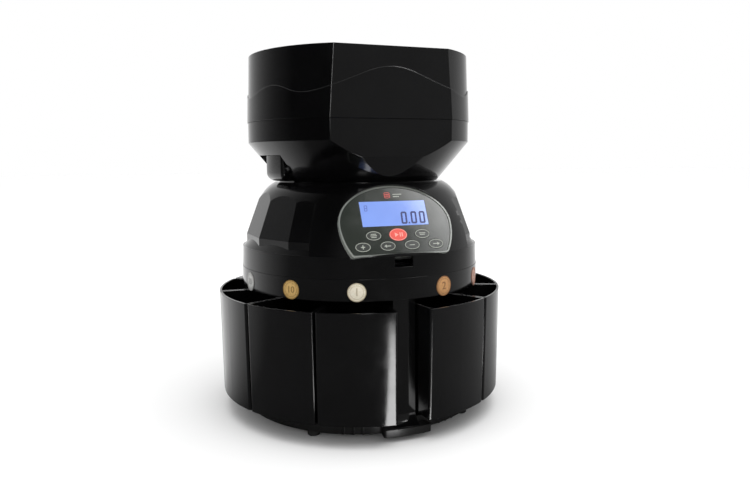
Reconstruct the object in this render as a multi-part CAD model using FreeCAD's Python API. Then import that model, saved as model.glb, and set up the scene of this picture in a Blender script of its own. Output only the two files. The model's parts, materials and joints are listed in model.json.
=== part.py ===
import FreeCAD, Part
import math
import os

# Coin sorting machine. Millimetres, +Z up, -Y is the front with the display, origin on the
# table at the machine's vertical axis. Azimuths are degrees from the front, positive towards +X.

os.makedirs("parts", exist_ok=True)

WALL = 2.5                    # moulded shell thickness
GAP = 0.3                     # clearance between pieces that move past each other
SHAFT_R = 4.0
RUNNING = 0.05                # radial clearance of a shaft in its bearing

# Coin drawers: eight wedge-shaped cups around the base
DRAWERS_PER_SIDE = 4
DRAWER_PITCH = 29.6
FRONT_GAP_HALF = 5.7          # azimuth of the first drawer's inner boundary
DRAWER_R_TOP = 165.0
DRAWER_R_BOTTOM = 163.6
DRAWER_R_IN = 82.0
DRAWER_Z = (24.6, 140.0)
DRAWER_WALL = 2.2
DRAWER_SIDE_INSET = 0.75
DRAWER_CORNER = 3.0

# Base
FOOT_R = 6.5
FOOT_HEIGHT = 6.0
FOOT_CIRCLE = 130.0
FOOT_AZIMUTHS = (42.0, 138.0, 222.0, 318.0)
TRAY_R = 137.0
TRAY_Z = (FOOT_HEIGHT, 10.0)
TRAY_LIP_TOP = 20.0
TONGUE_HALF = 10.3            # half angle of the tray's front tongue
TONGUE_R = 150.0
TONGUE_TOP = 14.0
RIB_AZIMUTHS = (18.5, 22.5, 26.8)    # upright ribs on the tray lip, both sides
RIB_R = 1.4
DRUM_R = 76.0
COLUMN_HALF = 5.2
COLUMN_R = 137.5
COLUMN_FOOT = ((137.5, 36.0), (139.6, 20.5), (147.0, 14.0))    # flared foot, radius and height
REAR_R = DRAWER_R_TOP * math.cos(math.radians(FRONT_GAP_HALF))
REAR_HALF = 54.6              # half angle of the rear housing, about the back
REAR_TOP = 140.0
VENT_X = 78.0
VENT_HALF = 16.0
VENT_ROWS = 7
VENT_PITCH = 9.0
VENT_FIRST_Z = 45.0
INLET_X = -22.0
INLET_Z = 60.0
INLET_HALF = (14.0, 10.5)     # half width and height of the inlet's hole
INLET_MOUTH = (11.5, 8.0)
INLET_DEPTH = 20.0
SWITCH_X = 20.0
SWITCH_HALF = (7.0, 11.0)
SWITCH_PIVOT_Y = REAR_R - 8.0
SWITCH_PIN_R = 1.2
ROCKER_HALF_HEIGHT = 8.6

# Lower ring with the coin deck
RING_R = 138.3
RING_Z = (146.0, 168.5)
DECK_THICKNESS = 3.0
LABEL_Z = 155.5
LABEL_RADII = (10.6, 10.4, 10.0, 9.6)
LABEL_THICKNESS = 0.35

# Sorter
RAIL_TOP = 163.0
RAIL_RADII = (104.0, 133.0)
DISC_R = 102.0
DISC_Z = (160.0, 163.5)
PULLEY_Z = (122.0, 130.0)
DRIVEN_PULLEY_R = 30.0
MOTOR_PULLEY_R = 10.0
MOTOR_X = 50.0
MOTOR_R = 18.0
BRACKET_HALF = 24.0
BRACKET_BACK = 30.0

# Upper housing (dome)
DOME_Z = (168.5, 263.0)
DOME_LEDGE_Z = 191.0
DOME_R = 138.0
DOME_LEDGE_R = 137.0
DOME_NECK_R = 98.0
DOME_PROFILE = ((DOME_LEDGE_R, DOME_LEDGE_Z), (130.2, 218.0), (111.8, 251.3), (106.0, 257.6))
GRIP_FROM = 41.5              # azimuth where the side grip starts
GRIP_MIDDLE = 100.0
GRIP_VERTICES = (41.5, 53.0, 74.5, 100.0, 125.5, 147.0, 158.5)
GRIP_Z = (204.0, 254.0)
GRIP_R = (132.2, 113.4)
MOTOR_HOLE_R = 27.0
NOTCH_HALF = 10.0
NOTCH_Z = (180.0, 190.5)

# Display panel, in its own plane: x across, y up the slope, z out of the panel
PANEL_FRONT = 110.0
PANEL_Z = 232.0
PANEL_SLOPE = 63.3
PANEL_HALF = 62.5
PANEL_SIDE_Y = -12.0
PANEL_RISE = 43.0
PANEL_FOOT_Y = -46.0
PANEL_DEPTH = 14.0
RIM_WIDTH = 1.8
RIM_HEIGHT = 1.2
OVERLAY_THICKNESS = 0.4
LCD_SIZE = (73.4, 27.6)
KEY_SIZE = (16.4, 10.0)
START_KEY_SIZE = (19.4, 13.4)
KEY_PLACES = ((-27.0, -24.0), (0.0, -23.8), (27.0, -24.0),
              (-40.4, -35.7), (-13.4, -35.7), (13.4, -35.7), (40.4, -35.7))
START_KEY = 1
KEY_PROUD = 0.9
KEY_DEPTH = 3.5

# Hopper
BOWL_TOP = 329.0
BOWL_R = 127.2
BOWL_FLAT = 108.0
BOWL_EDGE_Z = 307.0           # where the upright wall turns into the cone
BOWL_CONE = ((BOWL_R, BOWL_EDGE_Z), (94.6, 267.5))
BOWL_BOTTOM = 263.9
BOWL_FLOOR = 270.0
FACET_EDGE_Z = 290.0          # lower edge of the front flat
FACET_FOOT = (95.0, 267.0)    # distance in front of the axis and height of the front facet's foot
COLLAR_R = 89.0               # collar that closes the neck between bowl and housing
RECESS_AZIMUTHS = (-107.0, -65.0)    # hollow in the cone round the chute
RECESS_R = 104.5
RECESS_TOP = 293.0
EXTENSION_TOP = 401.5
EXTENSION_R = (128.0, 125.5)
EXTENSION_FLAT = 108.8
EXTENSION_WALL = 2.6
WAVE_STEP = 1.0
WAVE = ((0.0, 381.0), (45.5, 355.0), (63.0, 364.0), (88.0, 355.0), (118.0, 366.0), (147.0, 355.0),
        (180.0, 372.0))        # crests and troughs, azimuth and height
FEED_DISC_R = 75.5
FEED_MOTOR_R = 25.0
FEED_MOTOR_Z = (222.0, BOWL_BOTTOM)
CHUTE_AZIMUTHS = (-93.0, -68.0)
CHUTE_RADII = (80.0, 109.0)
CHUTE_SPOUT_R = 94.0          # outer radius of the narrower lower part
CHUTE_Z = (186.0, 264.6, 292.7)      # spout end, scoop underside, scoop top
CHUTE_ROUNDING = 9.0
CHUTE_CORNER = 3.5

AXIS = FreeCAD.Vector(0, 0, 1)
ORIGIN = FreeCAD.Vector(0, 0, 0)
HUGE = 900.0


def vec(x, y, z):
    return FreeCAD.Vector(x, y, z)


def polar(radius, azimuth, z):
    angle = math.radians(azimuth)
    return vec(radius * math.sin(angle), -radius * math.cos(angle), z)


def cylinder(radius, z0, z1, x=0.0, y=0.0):
    return Part.makeCylinder(radius, z1 - z0, vec(x, y, z0))


def tube(outer, inner, z0, z1, x=0.0, y=0.0):
    return cylinder(outer, z0, z1, x, y).cut(cylinder(inner, z0 - 1, z1 + 1, x, y))


def cone(r0, r1, z0, z1):
    if abs(r0 - r1) < 1e-6:
        return cylinder(r0, z0, z1)
    return Part.makeCone(r0, r1, z1 - z0, vec(0, 0, z0))


def block(x0, x1, y0, y1, z0, z1):
    return Part.makeBox(x1 - x0, y1 - y0, z1 - z0, vec(x0, y0, z0))


def spun(shape, azimuth):
    """A copy of a shape drawn along +X, turned so that it points along the azimuth."""
    copy = shape.copy()
    copy.rotate(ORIGIN, AXIS, azimuth - 90)
    return copy


def wedge(half_angle, inset, z0, z1):
    """Prism between two radial planes about +X, each moved inwards by inset."""
    half = math.radians(half_angle)
    apex = inset / math.sin(half)
    far_y = HUGE * math.tan(half) - inset / math.cos(half)
    points = [vec(apex, 0, z0), vec(HUGE, -far_y, z0), vec(HUGE, far_y, z0), vec(apex, 0, z0)]
    return Part.Face(Part.makePolygon(points)).extrude(vec(0, 0, z1 - z0))


def sector(azimuth0, azimuth1, r0, r1, z0, z1, inset=0.0):
    ring = tube(r1, r0, z0, z1)
    half = (azimuth1 - azimuth0) / 2
    return ring.common(spun(wedge(half, max(inset, 1e-3), z0, z1), (azimuth0 + azimuth1) / 2))


def half_space(point, normal):
    """A large block that fills the side of the plane that the normal points to."""
    side = Part.makeBox(2 * HUGE, 2 * HUGE, HUGE, vec(-HUGE, -HUGE, 0))
    side.Placement = FreeCAD.Placement(point, FreeCAD.Rotation(AXIS, normal))
    return side


def fillet_upright(shape, radius, r_min, shortest=20.0):
    """Round the upright edges that lie further than r_min from the axis."""
    edges = []
    for edge in shape.Edges:
        ends = [v.Point for v in edge.Vertexes]
        if len(ends) < 2 or abs(ends[0].z - ends[1].z) < shortest:
            continue
        if min(math.hypot(p.x, p.y) for p in ends) > r_min:
            edges.append(edge)
    return shape.makeFillet(radius, edges)


def export(name, shape):
    if shape.ShapeType == "Compound" and len(shape.Solids) == 1:
        shape = shape.Solids[0]
    if not shape.isValid() or not shape.Solids:
        raise RuntimeError("bad shape " + name)
    shape.exportStep("parts/" + name + ".step")


def drawer_azimuths():
    first = FRONT_GAP_HALF + DRAWER_PITCH / 2
    right = [first + DRAWER_PITCH * i for i in range(DRAWERS_PER_SIDE)]
    return [-a for a in reversed(right)] + right


# ---- drawers and base

def drawer():
    z0, z1 = DRAWER_Z
    half = DRAWER_PITCH / 2
    outer = cone(DRAWER_R_BOTTOM, DRAWER_R_TOP, z0, z1).cut(cylinder(DRAWER_R_IN, z0 - 1, z1 + 1))
    outer = outer.common(wedge(half, DRAWER_SIDE_INSET, z0, z1))
    outer = fillet_upright(outer, DRAWER_CORNER, DRAWER_R_IN + 20)
    floor = z0 + DRAWER_WALL
    inner = cone(DRAWER_R_BOTTOM - DRAWER_WALL, DRAWER_R_TOP - DRAWER_WALL, z0, z1 + 1)
    inner = inner.cut(cylinder(DRAWER_R_IN + DRAWER_WALL, z0 - 1, z1 + 2))
    inner = inner.common(wedge(half, DRAWER_SIDE_INSET + DRAWER_WALL, floor, z1 + 1))
    return outer.cut(inner)


def base_tray():
    z0, z1 = TRAY_Z
    tray = cylinder(TRAY_R, z0, z1)
    tray = tray.fuse(tube(TRAY_R, TRAY_R - 3, z0, TRAY_LIP_TOP))
    rail = block(DRAWER_R_IN + 6, TRAY_R - 1, -1.2, 1.2, z1 - 0.5, DRAWER_Z[0] - GAP)
    for azimuth in drawer_azimuths():
        for side in (-1, 1):
            placed = rail.copy()
            placed.translate(vec(0, side * 14, 0))
            tray = tray.fuse(spun(placed, azimuth))
    tongue = sector(-TONGUE_HALF, TONGUE_HALF, DRUM_R + 1, TONGUE_R, z0, TONGUE_TOP)
    tray = tray.fuse(fillet_upright(tongue, 3.0, TRAY_R, 5.0))
    for azimuth in RIB_AZIMUTHS:
        for side in (-1, 1):
            spot = polar(TRAY_R - 0.3, side * azimuth, 0)
            tray = tray.fuse(cylinder(RIB_R, z0, TRAY_LIP_TOP, spot.x, spot.y))
    rear = sector(180 - REAR_HALF, 180 + REAR_HALF, DRUM_R + 8, HUGE, z1, TRAY_LIP_TOP + 5)
    under_column = sector(-COLUMN_HALF - GAP, COLUMN_HALF + GAP, DRUM_R, HUGE, TONGUE_TOP, TRAY_LIP_TOP + 5)
    tray = tray.cut(rear).cut(under_column)
    return tray.removeSplitter()


def inner_drum():
    drum = tube(DRUM_R, DRUM_R - WALL, TRAY_Z[1], RING_Z[0])
    return drum.cut(sector(180 - 30, 180 + 30, 0, HUGE, 30, 100))


def front_column():
    outer = sector(-COLUMN_HALF, COLUMN_HALF, DRUM_R, COLUMN_R, TONGUE_TOP, RING_Z[0])
    inner = sector(-COLUMN_HALF, COLUMN_HALF, DRUM_R - 1, COLUMN_R - WALL, 0, HUGE, WALL)
    top, middle, tip = [vec(r, 0, z) for r, z in COLUMN_FOOT]
    heel = vec(COLUMN_R - WALL, 0, tip.z)
    knee = vec(COLUMN_R - WALL, 0, top.z)
    edges = [Part.Arc(top, middle, tip).toShape(), Part.makeLine(tip, heel), Part.makeLine(heel, knee),
             Part.makeLine(knee, top)]
    foot = Part.Face(Part.Wire(edges)).revolve(ORIGIN, AXIS, 360)
    foot = foot.common(spun(wedge(COLUMN_HALF, 1e-3, 0, HUGE), 0))
    return outer.cut(inner).fuse(foot)


def rear_housing():
    start = 180 - REAR_HALF
    end = 180 + REAR_HALF
    outer = sector(start, end, DRUM_R + 0.02, REAR_R, TRAY_Z[1] + 0.02, REAR_TOP)
    inner = sector(start, end, DRUM_R - 1, REAR_R - WALL, TRAY_Z[1] + WALL, REAR_TOP - WALL, WALL)
    shell = outer.cut(inner)
    shell = shell.cut(rear_block(INLET_X, INLET_HALF, 0, -12, 2))
    shell = shell.cut(rear_block(SWITCH_X, SWITCH_HALF, 0, -12, 2))
    for side in (-1, 1):
        for row in range(VENT_ROWS):
            z = VENT_FIRST_Z + VENT_PITCH * row
            slot = block(side * VENT_X - VENT_HALF, side * VENT_X + VENT_HALF, 90, REAR_R, z, z + 3)
            shell = shell.cut(slot)
    return shell


def rear_block(x, half, inset, y0, y1):
    """Block about a point of the rear face; y is counted from the face, outwards."""
    half_x, half_z = half[0] - inset, half[1] - inset
    return block(x - half_x, x + half_x, REAR_R + y0, REAR_R + y1, INLET_Z - half_z, INLET_Z + half_z)


def power_inlet():
    body = rear_block(INLET_X, INLET_HALF, 0.1, -28, -1.6)
    return body.cut(rear_block(INLET_X, INLET_MOUTH, 0, -INLET_DEPTH, 0))


def inlet_pins():
    pins = []
    for x, z in ((-7.0, -1.5), (0.0, 2.5), (7.0, -1.5)):
        y0 = REAR_R - INLET_DEPTH + 0.02
        pins.append(block(INLET_X + x - 1, INLET_X + x + 1, y0, y0 + 14, INLET_Z + z - 2, INLET_Z + z + 2))
    return Part.makeCompound(pins)


def switch_frame():
    frame = rear_block(SWITCH_X, SWITCH_HALF, 0.1, -18, -1.7)
    frame = frame.cut(rear_block(SWITCH_X, SWITCH_HALF, 1.3, -16.5, 0))
    length = 2 * SWITCH_HALF[0] - 1.5
    start = vec(SWITCH_X - length / 2, SWITCH_PIVOT_Y, INLET_Z)
    pin = Part.makeCylinder(SWITCH_PIN_R, length, start, vec(1, 0, 0))
    return frame.fuse(pin)


def rocker_switch():
    """Rocker on a cross pin: a round back and two shallow faces that meet at the middle."""
    half = ROCKER_HALF_HEIGHT
    points = [vec(0, -3.0, -5), vec(0, -3.0, 5), vec(0, 4.2, half), vec(0, 6.2, half),
              vec(0, 5.0, 0), vec(0, 6.2, -half), vec(0, 4.2, -half), vec(0, -3.0, -5)]
    width = 2 * SWITCH_HALF[0] - 2.6 - 2 * GAP
    rocker = Part.Face(Part.makePolygon(points)).extrude(vec(width, 0, 0))
    rocker.translate(vec(SWITCH_X - width / 2, SWITCH_PIVOT_Y, INLET_Z))
    start = vec(SWITCH_X - width / 2 - 1, SWITCH_PIVOT_Y, INLET_Z)
    bore = Part.makeCylinder(SWITCH_PIN_R + RUNNING, width + 2, start, vec(1, 0, 0))
    return rocker.cut(bore)


def feet():
    pads = []
    for azimuth in FOOT_AZIMUTHS:
        spot = polar(FOOT_CIRCLE, azimuth, 0)
        pad = cylinder(FOOT_R, 0, FOOT_HEIGHT, spot.x, spot.y)
        pads.append(pad.makeChamfer(1.0, [pad.Edges[2]]))
    return Part.makeCompound(pads)


def base_screws():
    screws = []
    for azimuth in (0, 72, 144, 216, 288):
        spot = polar(55, azimuth, 0)
        screws.append(cylinder(4, TRAY_Z[0] - 2.2, TRAY_Z[0], spot.x, spot.y))
    return Part.makeCompound(screws)


# ---- lower ring and sorter

def chute_ring():
    z0, z1 = RING_Z
    ring = tube(RING_R, RING_R - WALL, z0, z1)
    deck = tube(RING_R - 1, 10, z0, z0 + DECK_THICKNESS)
    ring = ring.fuse(deck)
    for azimuth in drawer_azimuths():
        ring = ring.cut(sector(azimuth - 9, azimuth + 9, 106, 126, z0 - 1, z0 + DECK_THICKNESS + 1))
    lip_r = DOME_R - WALL - 0.4
    lip = tube(lip_r, lip_r - 1.6, z1 - 6, z1 + 3)
    return ring.fuse([lip, tube(RING_R - 1, lip_r - 1.6, z1 - 6, z1 - 4)])


def sorting_rail():
    r0, r1 = RAIL_RADII
    deck = RING_Z[0] + DECK_THICKNESS
    rail = tube(r1, r0, RAIL_TOP - 3, RAIL_TOP).fuse(tube(r1, r1 - 2.5, deck, RAIL_TOP))
    for index, azimuth in enumerate(drawer_azimuths()):
        half = 3.2 + 0.5 * index
        reach = 109 + 1.6 * index
        rail = rail.cut(sector(azimuth - half, azimuth + half, r0 - 1, reach, RAIL_TOP - 4, RAIL_TOP + 1))
    return rail


def sorting_disc():
    z0, z1 = DISC_Z
    disc = cylinder(DISC_R, z0, z1).fuse(cylinder(14, z0 - 7, z1 + 4))
    for turn in range(6):
        vane = block(30, DISC_R - 3, -1.5, 1.5, z1 - 0.5, z1 + 2.5)
        disc = disc.fuse(spun(vane, 60 * turn))
    return disc.cut(cylinder(SHAFT_R, 0, HUGE))


def pulley(radius, bore, x):
    z0, z1 = PULLEY_Z
    body = cylinder(radius, z0, z1, x)
    for z in (z0 - 1, z1):
        body = body.fuse(cylinder(radius + 2, z, z + 1, x))
    return body.cut(cylinder(bore, z0 - 5, z1 + 5, x)) if bore else body


def motor_pulley():
    stub = cylinder(2.5, PULLEY_Z[0] - 16, PULLEY_Z[0], MOTOR_X)
    return pulley(MOTOR_PULLEY_R, 0, MOTOR_X).fuse(stub)


def belt_outline(offset, z0, z1):
    """Open belt round both pulleys, as the hull of two discs."""
    big = DRIVEN_PULLEY_R + offset
    small = MOTOR_PULLEY_R + offset
    angle = math.acos((big - small) / MOTOR_X)
    c, s = math.cos(angle), math.sin(angle)
    corners = [vec(big * c, big * s, z0), vec(MOTOR_X + small * c, small * s, z0),
               vec(MOTOR_X + small * c, -small * s, z0), vec(big * c, -big * s, z0)]
    middle = Part.Face(Part.makePolygon(corners + corners[:1])).extrude(vec(0, 0, z1 - z0))
    return middle.fuse([cylinder(big, z0, z1), cylinder(small, z0, z1, MOTOR_X)])


def drive_belt():
    z0, z1 = PULLEY_Z[0] + 0.8, PULLEY_Z[1] - 0.8
    return belt_outline(1.6, z0, z1).cut(belt_outline(GAP, z0 - 1, z1 + 1))


def drive_motor():
    top = PULLEY_Z[0] - 6
    motor = cylinder(MOTOR_R, top - 58, top - 3, MOTOR_X).fuse(cylinder(7, top - 3, top, MOTOR_X))
    return motor.cut(cylinder(2.5 + RUNNING, top - 14, top + 1, MOTOR_X))


def motor_bracket():
    z0 = PULLEY_Z[0] - 9
    half = BRACKET_HALF
    plate = block(-BRACKET_BACK, MOTOR_X + MOTOR_R, -half, half, z0, z0 + WALL)
    leg = block(-BRACKET_BACK - WALL, -BRACKET_BACK, -half, half, TRAY_Z[1], z0 + WALL)
    web = block(-BRACKET_BACK, 0, -half, WALL - half, TRAY_Z[1], z0)
    plate = plate.fuse([leg, web])
    plate = plate.cut(cylinder(7, z0 - 1, z0 + 4, MOTOR_X))
    return plate.cut(cylinder(SHAFT_R + 2, z0 - 1, z0 + 4))


def coin_sensors():
    deck = RING_Z[0] + DECK_THICKNESS
    eyes = [spun(block(126, 130, -4, 4, deck, deck + 9), azimuth) for azimuth in drawer_azimuths()]
    return Part.makeCompound(eyes)


def sorter_bearing():
    z0 = RING_Z[0] - 6
    return tube(10, SHAFT_R + RUNNING, z0, RING_Z[0] + DECK_THICKNESS).fuse(
        tube(14, SHAFT_R + RUNNING, z0, RING_Z[0]))


def power_supply():
    board = block(-38, 38, 92, 136, 20, 21.6)
    parts = [block(-30, -6, 98, 128, 21.6, 46), block(4, 16, 98, 112, 21.6, 40)]
    parts.append(block(20, 32, 100, 126, 21.6, 36))
    posts = [cylinder(3, TRAY_Z[1] + WALL + 0.02, 20, x, y) for x in (-33, 33) for y in (97, 131)]
    return board.fuse(parts + posts)


def control_board():
    board = block(-26, 26, -64, -28, 30, 31.6)
    parts = [block(-8, 8, -54, -38, 31.6, 34), block(-24, -14, -60, -34, 31.6, 40)]
    parts.append(block(14, 24, -60, -34, 31.6, 38))
    posts = [cylinder(2.5, TRAY_Z[1], 30, x, y) for x in (-22, 22) for y in (-60, -31)]
    return board.fuse(parts + posts)


# ---- upper housing and panel

def dome_body(inset):
    """Solid of revolution inside the moulding's outer surface, with the faceted grips cut in."""
    top = DOME_Z[1] - inset
    a, b, c, shoulder = [vec(r - inset, 0, z) for r, z in DOME_PROFILE]
    shoulder.z -= 0.6 * inset
    start = vec(DOME_R - inset, 0, DOME_Z[0] - (1 if inset else 0))
    neck = vec(DOME_NECK_R - inset, 0, top)
    edges = [Part.makeLine(vec(0, 0, start.z), start), Part.makeLine(start, a),
             Part.Arc(a, b, c).toShape(), Part.Arc(c, shoulder, neck).toShape(),
             Part.makeLine(neck, vec(0, 0, top)), Part.makeLine(vec(0, 0, top), vec(0, 0, start.z))]
    body = Part.Face(Part.Wire(edges)).revolve(ORIGIN, AXIS, 360).removeSplitter()
    for side in (-1, 1):
        body = body.cut(grip_recess(side, inset))
    return body


def grip_ring(side, z, radius, inset):
    points = []
    for azimuth in GRIP_VERTICES:
        points.append(polar(radius - inset, side * azimuth, z))
    return points


def grip_recess(side, inset):
    """What a side grip takes away: everything outside a faceted block above a flared foot."""
    z_ledge = DOME_LEDGE_Z - inset
    z0, z1 = GRIP_Z
    edge = math.degrees(inset / DOME_R)
    z_top = z1 + inset
    zone = sector(GRIP_FROM - edge, 2 * GRIP_MIDDLE - GRIP_FROM + edge, 40, 160, z_ledge, z_top)
    if side < 0:
        zone = zone.mirror(ORIGIN, vec(1, 0, 0))
    slope = (GRIP_R[1] - GRIP_R[0]) / (z1 - z0)
    lower = grip_ring(side, z0, GRIP_R[0], inset)
    upper = grip_ring(side, z_top + 1, GRIP_R[1] + slope * (z_top + 1 - z1), inset)
    foot = grip_ring(side, z_ledge - 2, GRIP_R[0], inset)
    wires = []
    for ring in (foot, lower, upper):
        centre = vec(0, 0, ring[0].z)
        wires.append(Part.makePolygon([centre] + ring + [centre]))
    keep = Part.makeLoft(wires[1:], True, True).fuse(Part.makeLoft(wires[:2], True, True))
    flare = cone(DOME_LEDGE_R - inset, GRIP_R[0] - inset - 9, z_ledge - 2, z0 + 3)
    return zone.cut(keep).cut(flare)


def panel_frame(shape):
    shape.Placement = FreeCAD.Placement(vec(0, -PANEL_FRONT, PANEL_Z),
                                        FreeCAD.Rotation(vec(1, 0, 0), PANEL_SLOPE)).multiply(shape.Placement)
    return shape


def panel_outline(inset, z0, z1):
    """D shape: half ellipse above, round sides, straight foot."""
    half = PANEL_HALF - inset
    rise = PANEL_RISE - inset
    foot_y = PANEL_FOOT_Y + inset
    foot_x = math.sqrt(half ** 2 - (foot_y - PANEL_SIDE_Y) ** 2)
    middle = vec(0, PANEL_SIDE_Y, z0)
    top = Part.Arc(Part.Ellipse(middle, half, rise), 0, math.pi).toShape()
    mid_y = (PANEL_SIDE_Y + foot_y) / 2
    mid_x = math.sqrt(half ** 2 - (mid_y - PANEL_SIDE_Y) ** 2)
    left = Part.Arc(vec(-half, PANEL_SIDE_Y, z0), vec(-mid_x, mid_y, z0), vec(-foot_x, foot_y, z0)).toShape()
    foot = Part.makeLine(vec(-foot_x, foot_y, z0), vec(foot_x, foot_y, z0))
    right = Part.Arc(vec(foot_x, foot_y, z0), vec(mid_x, mid_y, z0), vec(half, PANEL_SIDE_Y, z0)).toShape()
    solid = Part.Face(Part.Wire([top, left, foot, right])).extrude(vec(0, 0, z1 - z0))
    upright = [e for e in solid.Edges if len(e.Vertexes) == 2 and e.BoundBox.ZLength > 1e-3]
    corners = [e for e in upright if e.Vertexes[0].Y < PANEL_FOOT_Y + inset + 1]
    return solid.makeFillet(max(3.5 - inset / 2, 1.0), corners)


def oval(place, size, grow, z0, z1):
    ellipse = Part.Ellipse(vec(place[0], place[1], z0), size[0] / 2 + grow, size[1] / 2 + grow)
    return Part.Face(Part.Wire(ellipse.toShape())).extrude(vec(0, 0, z1 - z0))


def key_size(index):
    return START_KEY_SIZE if index == START_KEY else KEY_SIZE


def lcd_block(grow, z0, z1):
    half_w = LCD_SIZE[0] / 2 + grow
    half_h = LCD_SIZE[1] / 2 + grow
    return block(-half_w, half_w, -half_h, half_h, z0, z1)


def key_holes(grow, z0, z1):
    return [oval(place, key_size(i), grow, z0, z1) for i, place in enumerate(KEY_PLACES)]


def panel_bezel():
    slab = panel_outline(0, -PANEL_DEPTH, RIM_HEIGHT)
    slab = slab.cut(panel_outline(RIM_WIDTH, 0, RIM_HEIGHT + 1))
    slab = slab.cut(panel_outline(WALL, -PANEL_DEPTH - 1, -WALL))
    slab = slab.cut(lcd_block(0.02, -PANEL_DEPTH, 1))
    for hole in key_holes(GAP, -PANEL_DEPTH, 1):
        slab = slab.cut(hole)
    return panel_frame(slab)


def panel_overlay():
    sheet = panel_outline(RIM_WIDTH + 0.02, 0, OVERLAY_THICKNESS).cut(lcd_block(0.02, -1, 1))
    for hole in key_holes(GAP, -1, 1):
        sheet = sheet.cut(hole)
    return panel_frame(sheet)


def upper_housing():
    shell = dome_body(0).cut(dome_body(WALL))
    shell = shell.cut(cylinder(MOTOR_HOLE_R, 200, HUGE))
    shell = shell.cut(sector(CHUTE_AZIMUTHS[0] - 1, CHUTE_AZIMUTHS[1] + 1, CHUTE_RADII[0] - 1,
                             CHUTE_SPOUT_R + 1, 225, HUGE))
    shell = shell.cut(panel_frame(panel_outline(-0.02, -PANEL_DEPTH - 4, 40)))
    return shell.cut(block(-NOTCH_HALF, NOTCH_HALF, -DOME_R - 5, -DOME_R + 12, *NOTCH_Z))


# ---- hopper

def bowl_body(inset, z_top):
    (r_high, z_high), (r_low, z_low) = BOWL_CONE
    slope = (r_high - r_low) / (z_high - z_low)
    z_floor = BOWL_FLOOR if inset else BOWL_BOTTOM
    r_floor = r_low + slope * (z_floor - z_low)
    body = cone(r_floor - inset, r_high - inset, z_floor, z_high)
    body = body.fuse(cylinder(BOWL_R - inset, z_high, z_top))
    body = body.cut(half_space(vec(0, -BOWL_FLAT + inset, 0), vec(0, -1, 0)))
    f_foot, z_foot = FACET_FOOT
    normal = vec(0, -(FACET_EDGE_Z - z_foot), -(BOWL_FLAT - f_foot))
    normal.normalize()
    body = body.cut(half_space(vec(0, -BOWL_FLAT, FACET_EDGE_Z) - normal * inset, normal))
    edge = math.degrees(inset / RECESS_R)
    return body.cut(sector(RECESS_AZIMUTHS[0] - edge, RECESS_AZIMUTHS[1] + edge, RECESS_R - inset, HUGE,
                           200, RECESS_TOP + inset))


def hopper_bowl():
    bowl = bowl_body(0, BOWL_TOP).cut(bowl_body(WALL, BOWL_TOP + 5))
    collar = tube(COLLAR_R, COLLAR_R - WALL, DOME_Z[1] + 0.02, BOWL_BOTTOM + 1)
    collar = collar.cut(sector(CHUTE_AZIMUTHS[0] - 0.5, CHUTE_AZIMUTHS[1] + 0.5, 50, HUGE, 200, HUGE))
    bowl = bowl.fuse([collar, tube(60, 57, DOME_Z[1], BOWL_BOTTOM + 0.5)])
    bowl = bowl.cut(cylinder(SHAFT_R + 2, 200, HUGE))
    return bowl.cut(sector(CHUTE_AZIMUTHS[0], CHUTE_AZIMUTHS[1], CHUTE_RADII[0] + WALL, CHUTE_RADII[1] - WALL,
                           250, 290, WALL))


def feed_chute():
    """Scoop on the bowl's side that narrows to a spout through the housing's neck."""
    z_end, z_scoop, z_top = CHUTE_Z
    r0, r1 = CHUTE_RADII
    scoop = sector(*CHUTE_AZIMUTHS, r0, r1, z_scoop, z_top)
    scoop = fillet_upright(scoop, CHUTE_CORNER, RECESS_R)
    rim = [e for e in scoop.Edges if e.BoundBox.ZMax < z_scoop + 0.1
           and min(math.hypot(v.X, v.Y) for v in e.Vertexes) > r1 - CHUTE_CORNER - 1]
    scoop = scoop.makeFillet(CHUTE_ROUNDING, rim)
    outer = scoop.fuse(sector(*CHUTE_AZIMUTHS, r0, CHUTE_SPOUT_R, z_end, z_top))
    inner = sector(*CHUTE_AZIMUTHS, r0 + WALL, CHUTE_SPOUT_R - WALL, z_end - 1, z_top + 1, WALL)
    inner = inner.fuse(sector(*CHUTE_AZIMUTHS, r0 + WALL, r1 - CHUTE_ROUNDING, z_scoop + WALL, z_top - WALL,
                              WALL))
    return outer.cut(inner).cut(bowl_body(0, BOWL_TOP))


def feed_disc():
    z0 = BOWL_FLOOR + GAP
    disc = cylinder(FEED_DISC_R, z0, z0 + 3).fuse(cone(22, 8, z0 + 3, z0 + 16))
    for turn in range(5):
        vane = block(18, FEED_DISC_R - 2, -1.6, 1.6, z0 + 2.5, z0 + 5.5)
        disc = disc.fuse(spun(vane, 72 * turn))
    return disc.fuse(cylinder(SHAFT_R, BOWL_BOTTOM - 20, z0 + 1))


def feed_motor():
    z0, z1 = FEED_MOTOR_Z
    return cylinder(FEED_MOTOR_R, z0, z1).cut(cylinder(SHAFT_R + RUNNING, BOWL_BOTTOM - 22, z1 + 1))


def wave_height(azimuth):
    """Height of the wavy step on the extension: cosine runs between crests and troughs."""
    a = abs(azimuth)
    for (a0, z0), (a1, z1) in zip(WAVE, WAVE[1:]):
        if a0 <= a <= a1:
            share = (1 - math.cos(math.pi * (a - a0) / (a1 - a0))) / 2
            return z0 + (z1 - z0) * share
    return WAVE[-1][1]


def wave_solid(azimuth0, azimuth1):
    """Everything above the wavy step line, between two azimuths."""
    curves = []
    for radius in (80.0, 160.0):
        curve = Part.BSplineCurve()
        curve.interpolate([polar(radius, a, wave_height(a)) for a in range(azimuth0, azimuth1 + 1, 5)])
        curves.append(curve.toShape())
    return Part.makeRuledSurface(curves[0], curves[1]).extrude(vec(0, 0, 120))


def extension_body(inset, z0, z1):
    r0, r1 = EXTENSION_R
    slope = (r1 - r0) / (EXTENSION_TOP - BOWL_TOP)
    body = cone(r0 + slope * (z0 - BOWL_TOP) - inset, r0 + slope * (z1 - BOWL_TOP) - inset, z0, z1)
    return body.cut(half_space(vec(0, -EXTENSION_FLAT + inset, 0), vec(0, -1, 0)))


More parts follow.
